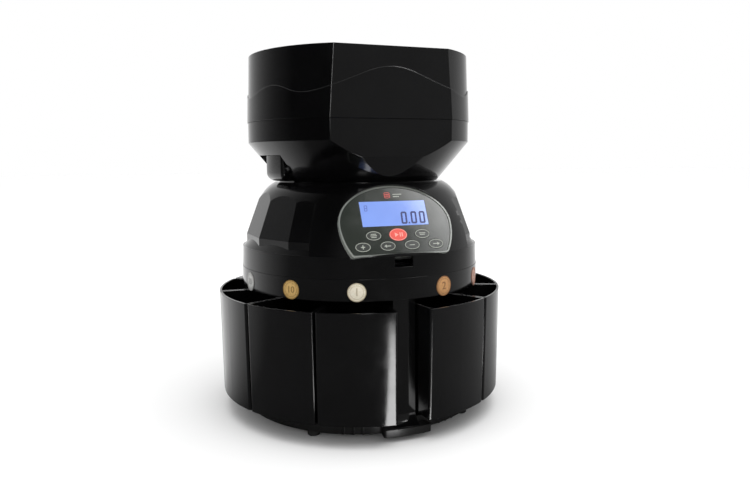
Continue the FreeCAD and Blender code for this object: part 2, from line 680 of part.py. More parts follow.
def hopper_extension():
    z0 = BOWL_TOP + GAP
    outer = extension_body(0, z0, EXTENSION_TOP)
    for azimuth0 in (-180, -60, 60):
        outer = outer.cut(wave_solid(azimuth0, azimuth0 + 120))
    outer = outer.fuse(extension_body(WAVE_STEP, z0, EXTENSION_TOP))
    shell = outer.cut(extension_body(EXTENSION_WALL, z0 - 1, EXTENSION_TOP + 1))
    skirt = extension_body(EXTENSION_WALL + 1.6, BOWL_TOP - 7, z0 + 3)
    skirt = skirt.cut(extension_body(EXTENSION_WALL + 3.2, BOWL_TOP - 8, z0 + 4))
    shelf = extension_body(EXTENSION_WALL - 0.5, z0, z0 + 2).cut(
        extension_body(EXTENSION_WALL + 3.2, z0 - 1, z0 + 3))
    return shell.fuse([skirt, shelf])


def coin_label(azimuth, radius):
    skin = tube(RING_R + LABEL_THICKNESS, RING_R + 0.01, LABEL_Z - radius, LABEL_Z + radius)
    punch = Part.makeCylinder(radius, 40, vec(RING_R - 20, 0, LABEL_Z), vec(1, 0, 0))
    return skin.common(spun(punch, azimuth))


def main():
    one_drawer = drawer()
    for number, azimuth in enumerate(drawer_azimuths(), start=1):
        export("coin_drawer_%d" % number, spun(one_drawer, azimuth))
        size = LABEL_RADII[(number - 1) % DRAWERS_PER_SIDE]
        export("coin_label_%d" % number, coin_label(azimuth, size))
    for number, place in enumerate(KEY_PLACES, start=1):
        key = oval(place, key_size(number - 1), 0, -KEY_DEPTH, KEY_PROUD)
        export("panel_key_%d" % number, panel_frame(key))
    pieces = {
        "base_tray": base_tray(), "inner_drum": inner_drum(), "front_column": front_column(),
        "rear_housing": rear_housing(), "power_inlet": power_inlet(), "inlet_pins": inlet_pins(),
        "switch_frame": switch_frame(), "rocker_switch": rocker_switch(), "rubber_feet": feet(),
        "base_screws": base_screws(), "chute_ring": chute_ring(), "sorting_rail": sorting_rail(),
        "sorting_disc": sorting_disc(), "sorter_shaft": cylinder(SHAFT_R, 104, DISC_Z[1] + 8),
        "sorter_bearing": sorter_bearing(), "driven_pulley": pulley(DRIVEN_PULLEY_R, SHAFT_R, 0),
        "motor_pulley": motor_pulley(), "drive_belt": drive_belt(), "drive_motor": drive_motor(),
        "motor_bracket": motor_bracket(), "coin_sensors": coin_sensors(), "power_supply": power_supply(),
        "control_board": control_board(), "upper_housing": upper_housing(), "panel_bezel": panel_bezel(),
        "panel_overlay": panel_overlay(),
        "lcd_window": panel_frame(lcd_block(0, -0.6, OVERLAY_THICKNESS)),
        "lcd_module": panel_frame(lcd_block(2.5, -8.0, -WALL - 0.02)),
        "display_board": panel_frame(block(-44, 44, -40, 8, -10, -8.4)),
        "hopper_bowl": hopper_bowl(), "feed_chute": feed_chute(), "feed_disc": feed_disc(),
        "feed_motor": feed_motor(), "hopper_extension": hopper_extension(),
    }
    for name, shape in pieces.items():
        export(name, shape)


main()
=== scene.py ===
import json
import math

import bpy
import bmesh
from mathutils import Matrix, Vector


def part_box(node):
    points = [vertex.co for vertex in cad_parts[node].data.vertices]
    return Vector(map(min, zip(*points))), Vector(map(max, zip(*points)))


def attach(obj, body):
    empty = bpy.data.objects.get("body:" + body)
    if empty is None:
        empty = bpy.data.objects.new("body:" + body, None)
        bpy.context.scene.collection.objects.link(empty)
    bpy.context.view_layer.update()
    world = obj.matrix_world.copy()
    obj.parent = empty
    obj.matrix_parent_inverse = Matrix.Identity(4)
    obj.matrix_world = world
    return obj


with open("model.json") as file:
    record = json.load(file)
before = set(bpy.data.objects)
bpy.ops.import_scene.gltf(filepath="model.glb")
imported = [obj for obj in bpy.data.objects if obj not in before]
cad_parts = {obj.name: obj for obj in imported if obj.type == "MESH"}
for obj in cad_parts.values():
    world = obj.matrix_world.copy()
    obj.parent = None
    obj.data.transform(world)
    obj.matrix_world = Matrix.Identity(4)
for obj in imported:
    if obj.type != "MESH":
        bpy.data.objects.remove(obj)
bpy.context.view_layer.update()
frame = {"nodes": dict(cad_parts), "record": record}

MM = 0.001
PANEL_SLOPE = math.radians(63.3)
RING_R = 138.3 * MM
LABEL_SKIN = 0.35 * MM


def in_mm(*values):
    return tuple(value * MM for value in values)


# Marks on the display, from the middle of its window
WINDOW_HALF = 0.5 * MM                  # half the window's thickness
INK = 0.05 * MM                         # thickness of a printed mark
DIGITS_X = in_mm(7.4, 18.4, 28.0)
DIGIT = in_mm(-11.2, 4.8, 11.8, 1.9)    # height of its foot, width, height, width of a bar
POINT = in_mm(15.2, -11.0, 1.7, 1.7)    # x, y, width, height
SMALL_MARK = in_mm(-32.0, 3.6, 2.8, 5.8, 0.8)

# Seven-segment digits: segment ends in units of the digit's width and height
SEGMENTS = {"a": ((0, 1), (1, 1)), "b": ((1, 1), (1, 0.5)), "c": ((1, 0.5), (1, 0)), "d": ((0, 0), (1, 0)),
            "e": ((0, 0), (0, 0.5)), "f": ((0, 0.5), (0, 1)), "g": ((0, 0.5), (1, 0.5))}
LIT = {"0": "abcdef", "8": "abcdefg"}
SLANT = 0.06
SEGMENT_REACH = 0.30                    # how far a segment runs past its ends, in bar widths

# Keys: a printed ring and a sign on each
START_KEY = 1
START_ASPECT = 13.4 / 19.4
KEY_ASPECT = 10.0 / 16.4
KEY_THICKNESS = 4.4 * MM
KEY_RING_INSET = 0.15 * MM
KEY_RING_WIDTH = 0.6 * MM
KEY_RING_RISE = 0.08 * MM
SIGN_RISE = 0.06 * MM
CROSSBAR_RISE = 0.07 * MM               # clear of the bar it crosses
LINE_PITCH = 1.7
LINE_HEIGHT = 0.8
LINE_WIDTH = 7.0                        # of the second line; the others are shorter
LINE_SHORTER = 1.2

# The mark above the display, in millimetres from the middle of its window
STACK_AT = (-4.5, 18.6)
STACK_PITCH = 1.9
STACK_OUTER = in_mm(3.4, 1.5)
STACK_INNER = in_mm(2.7, 0.9)
STACK_STEPS = 32
BARS_AT = (2.0, 21.4)
BARS_PITCH = 2.6
BAR_WIDTHS = (10.0, 7.0)
BAR_HEIGHT = 1.0

# Coin labels: distances in from the edge, and heights over the film
NUMERALS = ("5", "20", "10", "1", "2", "5", "50", "2")
NUMERAL_SIZES = {1: 11.5 * MM, 2: 9.5 * MM}
NUMERAL_DEPTH = 0.12 * MM
NUMERAL_LIFT = 0.06 * MM
COIN_ROOT = -0.1 * MM
COIN_RIM = in_mm(0.05, 1.0)
COIN_RIM_RISE = 0.18 * MM
COIN_LINE = in_mm(2.5, 2.9)
COIN_RISE = 0.1 * MM
COIN_DOTS = 24
COIN_DOT_AT = 1.75 * MM
COIN_DOT = 0.5 * MM
COIN_STEPS = 72

# Hopper, in millimetres: (azimuth, height) of the step's crests and troughs, (height, radius) of the wall
WAVE = ((0.0, 381.0), (45.5, 355.0), (63.0, 364.0), (88.0, 355.0), (118.0, 366.0), (147.0, 355.0),
        (180.0, 372.0))
HOPPER_TOP = (401.5, 125.5)
HOPPER_SEAM = (329.3, 128.0)
HOPPER_FLAT = 108.8
BEAD_STEPS = 360
BEAD_SIDES = 8

# Brightness that glossy rays see, by azimuth in degrees
SKY_LEVELS = ((-180, 1.0), (-148, 0.6), (-112, 0.18), (-88, 0.02), (-50, 0.02), (-28, 0.2), (12, 0.26),
              (40, 0.34), (75, 0.50), (120, 0.6), (150, 0.9), (180, 1.0))
FLOOR_LEVELS = ((-180, 0.95), (-130, 0.85), (-105, 0.42), (-85, 0.11), (-50, 0.09), (0, 0.11), (25, 0.15),
                (60, 0.24), (100, 0.42), (130, 0.8), (180, 0.95))
FLOOR_SIZE = 30
# The floor's colour is darker near the machine as painted shade round its base, and white further out
FLOOR_NEAR_SHADE = (0.80, 0.80, 0.80)
FLOOR_FAR = (1.0, 1.0, 1.0)
FLOOR_SHADE_FADE = (0.3, 0.9)                 # metres from the axis over which the painted shade near the machine fades to white

CAMERA_PLACE = (-0.264, -0.759, 0.288)
CAMERA_HEADING = 20.5
CAMERA_PITCH = 7.66
CAMERA_ROLL = -0.39
CAMERA_LENS = 32.4
CAMERA_SENSOR = 36.0

nodes = frame["nodes"]
record = frame["record"]


# ---- shader helpers

def new_material(name):
    mat = bpy.data.materials.new(name)
    mat.use_nodes = True
    tree = mat.node_tree
    return mat, tree, tree.nodes["Principled BSDF"]


def object_coords(tree, scale=(1, 1, 1)):
    """Position in metres, stretched by scale."""
    geometry = tree.nodes.new("ShaderNodeNewGeometry")
    mapping = tree.nodes.new("ShaderNodeMapping")
    mapping.inputs["Scale"].default_value = scale
    tree.links.new(geometry.outputs["Position"], mapping.inputs["Vector"])
    return mapping.outputs["Vector"]


def noise(tree, coords, scale, detail=3.0, rough=0.5):
    node = tree.nodes.new("ShaderNodeTexNoise")
    node.inputs["Scale"].default_value = scale
    node.inputs["Detail"].default_value = detail
    node.inputs["Roughness"].default_value = rough
    tree.links.new(coords, node.inputs["Vector"])
    return node.outputs["Fac"]


def remap(tree, value, low, high, low_in=0.3, high_in=0.7):
    node = tree.nodes.new("ShaderNodeMapRange")
    node.inputs["From Min"].default_value = low_in
    node.inputs["From Max"].default_value = high_in
    node.inputs["To Min"].default_value = low
    node.inputs["To Max"].default_value = high
    tree.links.new(value, node.inputs["Value"])
    return node.outputs["Result"]


def two_tone(tree, value, dark, light, low=0.35, high=0.65):
    ramp = tree.nodes.new("ShaderNodeValToRGB")
    ramp.color_ramp.elements[0].position = low
    ramp.color_ramp.elements[0].color = (*dark, 1)
    ramp.color_ramp.elements[1].position = high
    ramp.color_ramp.elements[1].color = (*light, 1)
    tree.links.new(value, ramp.inputs["Fac"])
    return ramp.outputs["Color"]


def add_bump(tree, shader, height, distance, strength=1.0, edge=0.0):
    """Bump on the surface; edge is the radius in metres that sharp edges look rounded by."""
    bump = tree.nodes.new("ShaderNodeBump")
    bump.inputs["Strength"].default_value = strength
    bump.inputs["Distance"].default_value = distance
    tree.links.new(height, bump.inputs["Height"])
    if edge:
        bevel = tree.nodes.new("ShaderNodeBevel")
        bevel.samples = 4
        bevel.inputs["Radius"].default_value = edge
        tree.links.new(bevel.outputs["Normal"], bump.inputs["Normal"])
    tree.links.new(bump.outputs["Normal"], shader.inputs["Normal"])


def plastic(name, dark, light, rough, ior=1.45, edge=0.6 * MM, depth=0.012 * MM):
    """Moulded plastic: faint flow mottling, fine dust and haze in the roughness, slight orange peel."""
    mat, tree, shader = new_material(name)
    coords = object_coords(tree)
    flow = noise(tree, coords, 14.0, 4.0)
    tree.links.new(two_tone(tree, flow, dark, light), shader.inputs["Base Color"])
    haze = noise(tree, coords, 60.0, 6.0, 0.65)
    tree.links.new(remap(tree, haze, rough[0], rough[1]), shader.inputs["Roughness"])
    shader.inputs["IOR"].default_value = ior
    add_bump(tree, shader, noise(tree, coords, 900.0, 2.0), depth, 1.0, edge)
    return mat


def metal(name, dark, light, rough, brushed=(1, 1, 1), scale=300.0):
    mat, tree, shader = new_material(name)
    coords = object_coords(tree, brushed)
    streak = noise(tree, coords, scale, 5.0, 0.6)
    tree.links.new(two_tone(tree, streak, dark, light), shader.inputs["Base Color"])
    tree.links.new(remap(tree, streak, rough[0], rough[1]), shader.inputs["Roughness"])
    shader.inputs["Metallic"].default_value = 1.0
    add_bump(tree, shader, streak, 0.01 * MM, 0.6, 0.3 * MM)
    return mat


def rubber(name, dark, light):
    mat, tree, shader = new_material(name)
    coords = object_coords(tree)
    grain = noise(tree, coords, 1400.0, 3.0)
    tree.links.new(two_tone(tree, noise(tree, coords, 90.0), dark, light), shader.inputs["Base Color"])
    tree.links.new(remap(tree, grain, 0.6, 0.85), shader.inputs["Roughness"])
    add_bump(tree, shader, grain, 0.05 * MM, 0.8, 0.5 * MM)
    return mat


def circuit_board():
    mat, tree, shader = new_material("circuit_board")
    coords = object_coords(tree)
    cells = tree.nodes.new("ShaderNodeTexVoronoi")
    cells.feature = "DISTANCE_TO_EDGE"
    cells.inputs["Scale"].default_value = 260.0
    tree.links.new(coords, cells.inputs["Vector"])
    colour = two_tone(tree, cells.outputs["Distance"], (0.06, 0.26, 0.10), (0.01, 0.09, 0.035),
                      0.03, 0.08)
    tree.links.new(colour, shader.inputs["Base Color"])
    tree.links.new(remap(tree, noise(tree, coords, 200.0), 0.25, 0.45), shader.inputs["Roughness"])
    add_bump(tree, shader, cells.outputs["Distance"], 0.05 * MM)
    return mat


def coin_film(name, dark, light):
    """Printed metallic film over a coin picture: satin metal with fine speckle."""
    mat, tree, shader = new_material(name)
    coords = object_coords(tree)
    speckle = noise(tree, coords, 700.0, 6.0, 0.7)
    tree.links.new(two_tone(tree, speckle, dark, light, 0.3, 0.7), shader.inputs["Base Color"])
    tree.links.new(remap(tree, noise(tree, coords, 250.0), 0.28, 0.5), shader.inputs["Roughness"])
    shader.inputs["Metallic"].default_value = 0.35
    add_bump(tree, shader, speckle, 0.06 * MM, 0.8, 0.2 * MM)
    return mat


def display_glass():
    """Lit display: blue that is a little brighter in soft patches, with a faint dot grid."""
    mat, tree, shader = new_material("lcd_blue")
    coords = object_coords(tree)
    cloud = noise(tree, coords, 22.0, 2.0)
    blue = two_tone(tree, cloud, (0.145, 0.225, 0.54), (0.165, 0.260, 0.60))
    tree.links.new(blue, shader.inputs["Base Color"])
    tree.links.new(blue, shader.inputs["Emission Color"])
    shader.inputs["Emission Strength"].default_value = 0.35
    tree.links.new(remap(tree, noise(tree, coords, 500.0), 0.06, 0.16), shader.inputs["Roughness"])
    dots = tree.nodes.new("ShaderNodeTexVoronoi")
    dots.inputs["Scale"].default_value = 1600.0
    tree.links.new(coords, dots.inputs["Vector"])
    add_bump(tree, shader, dots.outputs["Distance"], 0.005 * MM, 0.5)
    return mat


def printed(name, dark, light, glow=0.0):
    """Screen-printed ink with slightly uneven cover."""
    mat, tree, shader = new_material(name)
    coords = object_coords(tree)
    cover = noise(tree, coords, 900.0, 4.0)
    ink = two_tone(tree, cover, dark, light)
    tree.links.new(ink, shader.inputs["Base Color"])
    if glow:
        tree.links.new(ink, shader.inputs["Emission Color"])
        shader.inputs["Emission Strength"].default_value = glow
    tree.links.new(remap(tree, cover, 0.35, 0.5), shader.inputs["Roughness"])
    add_bump(tree, shader, cover, 0.01 * MM)
    return mat


BLACK_DARK = (0.0010, 0.0010, 0.0011)
BLACK_LIGHT = (0.0022, 0.0022, 0.0024)

# Each has its dark and light tone, and the range of its roughness
MATERIALS = {
    "black_gloss": plastic("black_gloss", BLACK_DARK, BLACK_LIGHT, (0.07, 0.15)),
    "drawer_gloss": plastic("drawer_gloss", BLACK_DARK, BLACK_LIGHT, (0.09, 0.19), edge=0.9 * MM),
    "black_plastic": plastic("black_plastic", (0.005, 0.005, 0.005), (0.009, 0.009, 0.009), (0.3, 0.45),
                             depth=0.04 * MM),
    "grey_plastic": plastic("grey_plastic", (0.16, 0.16, 0.165), (0.21, 0.21, 0.215), (0.3, 0.45)),
    "switch_plastic": plastic("switch_plastic", BLACK_DARK, BLACK_LIGHT, (0.15, 0.25)),
    # The panel rim's light grey tones are a painted highlight: the rim is dark plastic whose polished edge
    # catches light
    "panel_rim": plastic("panel_rim", (0.14, 0.15, 0.14), (0.20, 0.21, 0.19), (0.08, 0.16),
                         edge=0.5 * MM),
    "panel_film": plastic("panel_film", (0.010, 0.014, 0.010), (0.016, 0.020, 0.015), (0.12, 0.2),
                          ior=1.5),
    "key_dark": plastic("key_dark", (0.018, 0.021, 0.018), (0.026, 0.030, 0.026), (0.2, 0.3),
                        edge=0.4 * MM),
    "key_red": plastic("key_red", (0.60, 0.045, 0.03), (0.74, 0.075, 0.05), (0.2, 0.3),
                       edge=0.4 * MM),
    "foot_rubber": rubber("foot_rubber", (0.010, 0.010, 0.010), (0.020, 0.020, 0.020)),
    "belt_rubber": rubber("belt_rubber", (0.012, 0.012, 0.012), (0.022, 0.022, 0.022)),
    "pin_metal": metal("pin_metal", (0.7, 0.68, 0.62), (0.85, 0.83, 0.78), (0.15, 0.3)),
    "screw_steel": metal("screw_steel", (0.45, 0.45, 0.46), (0.6, 0.6, 0.61), (0.25, 0.4)),
    "rail_steel": metal("rail_steel", (0.5, 0.5, 0.52), (0.66, 0.66, 0.68), (0.22, 0.42),
                        (1, 1, 12)),
    "motor_steel": metal("motor_steel", (0.3, 0.3, 0.31), (0.42, 0.42, 0.43), (0.3, 0.5),
                         (1, 1, 10)),
    "bearing_brass": metal("bearing_brass", (0.6, 0.45, 0.2), (0.75, 0.58, 0.3), (0.2, 0.35),
                           (1, 1, 12)),
    "circuit_board": circuit_board(),
    "lcd_blue": display_glass(),
    "label_copper": coin_film("label_copper", (0.52, 0.26, 0.10), (0.80, 0.46, 0.20)),
    "label_rose": coin_film("label_rose", (0.46, 0.24, 0.17), (0.66, 0.38, 0.28)),
    "label_silver": coin_film("label_silver", (0.38, 0.38, 0.37), (0.58, 0.58, 0.56)),
    "label_gold": coin_film("label_gold", (0.56, 0.34, 0.10), (0.86, 0.60, 0.24)),
    "label_cream": coin_film("label_cream", (0.80, 0.72, 0.55), (0.97, 0.93, 0.80)),
}
# The bead is a lighter grey than the hopper's black as a painted highlight: it stands in for the thin
# light line along the wave step
BEAD_PAINTED_HIGHLIGHT = plastic("bead_painted_highlight", (0.02, 0.02, 0.02), (0.035, 0.035, 0.035), (0.15, 0.25), edge=0.0)
PRINT_WHITE = printed("print_white", (0.26, 0.28, 0.24), (0.36, 0.38, 0.33))
PRINT_RED = printed("print_red", (0.55, 0.06, 0.05), (0.70, 0.10, 0.08))
PRINT_PINK = printed("print_pink", (0.72, 0.25, 0.21), (0.80, 0.32, 0.27))
DIGIT_INK = printed("digit_ink", (0.004, 0.006, 0.09), (0.008, 0.012, 0.13))
FAINT_INK = printed("faint_ink", (0.04, 0.08, 0.34), (0.06, 0.11, 0.40), 0.2)
RELIEF = {
    "label_copper": coin_film("relief_copper", (0.24, 0.10, 0.04), (0.40, 0.19, 0.08)),
    "label_rose": coin_film("relief_rose", (0.28, 0.13, 0.09), (0.42, 0.22, 0.16)),
    "label_silver": coin_film("relief_silver", (0.16, 0.16, 0.16), (0.30, 0.30, 0.29)),
    "label_gold": coin_film("relief_gold", (0.24, 0.13, 0.03), (0.42, 0.26, 0.08)),
    "label_cream": coin_film("relief_cream", (0.46, 0.38, 0.25), (0.62, 0.54, 0.38)),
}


def paint(obj, mat):
    obj.data.materials.clear()
    obj.data.materials.append(mat)


def smooth(obj, angle=35.0):
    for polygon in obj.data.polygons:
        polygon.use_smooth = True
    obj.data.set_sharp_from_angle(angle=math.radians(angle))


for entry in record["subparts"]:
    paint(nodes[entry["node"]], MATERIALS[entry["material_slot"]])


# ---- pieces added to the frame

def mesh_object(name, bm, mat, body, slot):
    bmesh.ops.recalc_face_normals(bm, faces=bm.faces)
    mesh = bpy.data.meshes.new(name)
    bm.to_mesh(mesh)
    bm.free()
    obj = bpy.data.objects.new(name, mesh)
    bpy.context.scene.collection.objects.link(obj)
    paint(obj, mat)
    smooth(obj)
    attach(obj, body)
    return obj


def centre(node):
    low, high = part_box(node)
    return (Vector(low) + Vector(high)) / 2


def panel_matrix(origin):
    return Matrix.Translation(origin) @ Matrix.Rotation(PANEL_SLOPE, 4, "X")


def slab(bm, outline, z0, z1, place):
    """A thin plate of the outline (x, y points) between two heights; place is a matrix or a function."""
    put = place if callable(place) else (lambda p: place @ p)
    low = [bm.verts.new(put(Vector((x, y, z0)))) for x, y in outline]
    high = [bm.verts.new(put(Vector((x, y, z1)))) for x, y in outline]
    bm.faces.new(high)
    bm.faces.new(low[::-1])
    count = len(outline)
    for i in range(count):
        j = (i + 1) % count
        bm.faces.new((low[i], low[j], high[j], high[i]))


def ring_band(bm, outer, inner, z0, z1, place, steps=56):
    """An oval band: outer and inner are (half width, half height)."""
    put = place if callable(place) else (lambda p: place @ p)
    loops = []
    for (rx, ry), z in ((outer, z0), (outer, z1), (inner, z1), (inner, z0)):
        loops.append([bm.verts.new(put(Vector((rx * math.cos(2 * math.pi * k / steps),
                                               ry * math.sin(2 * math.pi * k / steps), z))))
                      for k in range(steps)])
    for a, b in zip(loops, loops[1:] + loops[:1]):
        for k in range(steps):
            n = (k + 1) % steps
            bm.faces.new((a[k], a[n], b[n], b[k]))


def rectangle(x, y, w, h):
    return [(x - w / 2, y - h / 2), (x + w / 2, y - h / 2),
            (x + w / 2, y + h / 2), (x - w / 2, y + h / 2)]


def digit(bm, mark, x, y, width, height, bar, z0, z1, place):
    for key in LIT[mark]:
        (ax, ay), (bx, by) = SEGMENTS[key]
        a = Vector((x + ax * width + SLANT * ay * height, y + ay * height))
        b = Vector((x + bx * width + SLANT * by * height, y + by * height))
        along = (b - a).normalized()
        side = Vector((-along.y, along.x)) * bar / 2
        a, b = a - along * bar * SEGMENT_REACH, b + along * bar * SEGMENT_REACH
        tip = along * bar / 2
        outline = [a, a + tip + side, b - tip + side, b, b - tip - side, a + tip - side]
        slab(bm, [(p.x, p.y) for p in outline], z0, z1, place)


def display_digits():
    place = panel_matrix(centre("lcd_window"))
    layer = (WINDOW_HALF, WINDOW_HALF + INK, place)
    bm = bmesh.new()
    for x in DIGITS_X:
        digit(bm, "0", x, *DIGIT, *layer)
    slab(bm, rectangle(*POINT), *layer)
    mesh_object("display_digits", bm, DIGIT_INK, "base", "lcd_blue")
    bm = bmesh.new()
    digit(bm, "8", *SMALL_MARK, *layer)
    mesh_object("display_small_mark", bm, FAINT_INK, "base", "lcd_blue")


def lines(count):
    """A sign of one to three lines, one above the other."""
    return [(rectangle(0, (k - (count - 1) / 2) * LINE_PITCH, LINE_WIDTH - LINE_SHORTER * abs(k - 1),
                       LINE_HEIGHT), SIGN_RISE) for k in range(count)]


def arrow(turn):
    """An arrow to the left, or to the right when turn is -1."""
    return [(rectangle(0.8 * turn, 0, 5.0, 0.9), SIGN_RISE),
            ([(-4.2 * turn, 0), (-1.4 * turn, -1.7), (-1.4 * turn, 1.7)], SIGN_RISE)]


# Generic signs in key order: outlines in millimetres, each with its height
KEY_SIGNS = (
    lines(3),
    [([(-3.6, -2.4), (0.2, 0), (-3.6, 2.4)], SIGN_RISE), (rectangle(2.2, 0, 1.1, 4.4), SIGN_RISE),
     (rectangle(4.4, 0, 1.1, 4.4), SIGN_RISE)],
    lines(2),
    [(rectangle(0, 0, 4.4, 1.0), SIGN_RISE), (rectangle(0, 0, 1.0, 4.4), CROSSBAR_RISE)],
    arrow(1),
    lines(1),
    arrow(-1),
)


def key_prints():
    for index, sign in enumerate(KEY_SIGNS):
        start = index == START_KEY
        node = "panel_key_%d" % (index + 1)
        low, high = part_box(node)
        width = high[0] - low[0]
        height = width * (START_ASPECT if start else KEY_ASPECT)
        place = panel_matrix(centre(node)) @ Matrix.Translation((0, 0, KEY_THICKNESS / 2))
        bm = bmesh.new()
        outer = (width / 2 - KEY_RING_INSET, height / 2 - KEY_RING_INSET)
        inner = (outer[0] - KEY_RING_WIDTH, outer[1] - KEY_RING_WIDTH)
        ring_band(bm, outer, inner, 0.0, KEY_RING_RISE, place)
        for outline, rise in sign:
            slab(bm, [in_mm(*point) for point in outline], 0.0, rise, place)
        ink = PRINT_PINK if start else PRINT_WHITE
        mesh_object("key_print_%d" % (index + 1), bm, ink, "key_%d" % (index + 1), "key_dark")


def coin_stack_mark():
    """A plain stack of coins printed above the display."""
    place = panel_matrix(centre("lcd_window"))
    layer = (WINDOW_HALF, WINDOW_HALF + INK)
    bm = bmesh.new()
    x, y = STACK_AT
    for k in range(3):
        lift = Matrix.Translation((x * MM, (y + STACK_PITCH * k) * MM, 0))
        ring_band(bm, STACK_OUTER, STACK_INNER, *layer, place @ lift, STACK_STEPS)
    mesh_object("panel_mark_coins", bm, PRINT_RED, "base", "panel_film")
    bm = bmesh.new()
    x, y = BARS_AT
    for k, width in enumerate(BAR_WIDTHS):
        bar = in_mm(x + width / 2, y - BARS_PITCH * k, width, BAR_HEIGHT)
        slab(bm, rectangle(*bar), *layer, place)
    mesh_object("panel_mark_lines", bm, PRINT_WHITE, "base", "panel_film")


def wrap_on_ring(azimuth, z_mid):
    """Puts (across, up, out) onto the ring's outer surface at an azimuth."""
    def put(p):
        a = azimuth + p.x / RING_R
        r = RING_R + LABEL_SKIN + p.z
        return Vector((r * math.sin(a), -r * math.cos(a), z_mid + p.y))
    return put


def numeral_mesh(text, size):
    curve = bpy.data.curves.new("numeral", "FONT")
    curve.body = text
    curve.size = size
    curve.align_x = "CENTER"
    curve.align_y = "CENTER"
    curve.extrude = NUMERAL_DEPTH
    curve.offset = NUMERAL_DEPTH
    obj = bpy.data.objects.new("numeral", curve)
    bpy.context.scene.collection.objects.link(obj)
    bpy.context.view_layer.update()
    shown = obj.evaluated_get(bpy.context.evaluated_depsgraph_get())
    mesh = bpy.data.meshes.new_from_object(shown)
    bpy.data.objects.remove(obj)
    return mesh


def coin_reliefs():
    for index, text in enumerate(NUMERALS):
        node = "coin_label_%d" % (index + 1)
        spot = centre(node)
        low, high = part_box(node)
        radius = (high[2] - low[2]) / 2
        azimuth = math.atan2(spot.x, -spot.y)
        put = wrap_on_ring(azimuth, spot.z)
        bm = bmesh.new()
        for (outer, inner), rise in ((COIN_RIM, COIN_RIM_RISE), (COIN_LINE, COIN_RISE)):
            ring_band(bm, (radius - outer,) * 2, (radius - inner,) * 2, COIN_ROOT, rise, put, COIN_STEPS)
        for k in range(COIN_DOTS):
            a = 2 * math.pi * k / COIN_DOTS
            x, y = (radius - COIN_DOT_AT) * math.cos(a), (radius - COIN_DOT_AT) * math.sin(a)
            slab(bm, rectangle(x, y, COIN_DOT, COIN_DOT), COIN_ROOT, COIN_RISE, put)
        digits = numeral_mesh(text, NUMERAL_SIZES[len(text)])
        start = len(bm.verts)
        bm.from_mesh(digits)
        bm.verts.ensure_lookup_table()
        for vert in bm.verts[start:]:
            vert.co = put(vert.co + Vector((0, 0, NUMERAL_LIFT)))
        slot = [s["material_slot"] for s in record["subparts"] if s["node"] == node][0]
        mesh_object("coin_relief_%d" % (index + 1), bm, RELIEF[slot], "base", slot)


def wave_height(azimuth):
    """Height in millimetres of the hopper's wavy step: cosine runs between crests and troughs."""
    a = abs(azimuth)
    for (a0, z0), (a1, z1) in zip(WAVE, WAVE[1:]):
        if a0 <= a <= a1:
            return z0 + (z1 - z0) * (1 - math.cos(math.pi * (a - a0) / (a1 - a0))) / 2
    return WAVE[-1][1]


def hopper_point(azimuth, z, proud):
    """A point on the hopper's outer wall: round, with a flat front."""
    z1, r1 = HOPPER_TOP
    z0, r0 = HOPPER_SEAM
    radius = r0 + (r1 - r0) * (z - z0) / (z1 - z0) + proud
    a = math.radians(azimuth)
    if radius * math.cos(a) > HOPPER_FLAT + proud:
        radius = (HOPPER_FLAT + proud) / math.cos(a)
    return Vector((radius * math.sin(a), -radius * math.cos(a), z)) * MM


def bead(name, height, radius, proud, body):
    """A fine round bead, partly sunk in the wall, once round the hopper at a height by azimuth."""
    bm = bmesh.new()
    count, sides = BEAD_STEPS, BEAD_SIDES
    azimuths = [k * 360 / count - 180 for k in range(count)]
    path = [hopper_point(azimuth, height(azimuth), proud) for azimuth in azimuths]
    rings = []
    for k, point in enumerate(path):
        tangent = (path[(k + 1) % count] - path[k - 1]).normalized()
        out = Vector((point.x, point.y, 0)).normalized()
        up = tangent.cross(out).normalized()
        out = up.cross(tangent).normalized()
        ring = []
        for i in range(sides):
            a = 2 * math.pi * i / sides
            ring.append(bm.verts.new(point + (out * math.cos(a) + up * math.sin(a)) * radius))
        rings.append(ring)
    for a, b in zip(rings, rings[1:] + rings[:1]):
        for i in range(sides):
            j = (i + 1) % sides
            bm.faces.new((a[i], a[j], b[j], b[i]))
    mesh_object(name, bm, BEAD_PAINTED_HIGHLIGHT, body, "black_gloss")


bead("wave_bead", wave_height, radius=0.45 * MM, proud=-0.55, body="hopper_lift")
display_digits()
key_prints()
coin_stack_mark()
coin_reliefs()


# ---- floor, light, camera

def azimuth_levels(tree, vector, stops):
    """Grey level by azimuth about the machine's axis: stops are (degrees, level), from -180 to 180."""
    split = tree.nodes.new("ShaderNodeSeparateXYZ")
    tree.links.new(vector, split.inputs["Vector"])
    minus_y = tree.nodes.new("ShaderNodeMath")
    minus_y.operation = "MULTIPLY"
    minus_y.inputs[1].default_value = -1.0
    tree.links.new(split.outputs["Y"], minus_y.inputs[0])
    angle = tree.nodes.new("ShaderNodeMath")
    angle.operation = "ARCTAN2"
    tree.links.new(split.outputs["X"], angle.inputs[0])
    tree.links.new(minus_y.outputs[0], angle.inputs[1])
    share = tree.nodes.new("ShaderNodeMapRange")
    share.inputs["From Min"].default_value = -math.pi
    share.inputs["From Max"].default_value = math.pi
    tree.links.new(angle.outputs[0], share.inputs["Value"])
    ramp = tree.nodes.new("ShaderNodeValToRGB")
    elements = ramp.color_ramp.elements
    for position, level in stops[1:-1]:
        elements.new((position + 180) / 360).color = (level, level, level, 1)
    elements[0].color = (stops[0][1],) * 3 + (1,)
    elements[-1].color = (stops[-1][1],) * 3 + (1,)
    tree.links.new(share.outputs["Result"], ramp.inputs["Fac"])
    return ramp.outputs["Color"]


def glossy_switch(tree, plain, reflected):
    """The plain colour or socket, but the reflected one for glossy rays."""
    path = tree.nodes.new("ShaderNodeLightPath")
    mix = tree.nodes.new("ShaderNodeMix")
    mix.data_type = "RGBA"
    if isinstance(plain, tuple):
        mix.inputs["A"].default_value = (*plain, 1)
    else:
        tree.links.new(plain, mix.inputs["A"])
    tree.links.new(path.outputs["Is Glossy Ray"], mix.inputs["Factor"])
    tree.links.new(reflected, mix.inputs["B"])
    return mix.outputs["Result"]


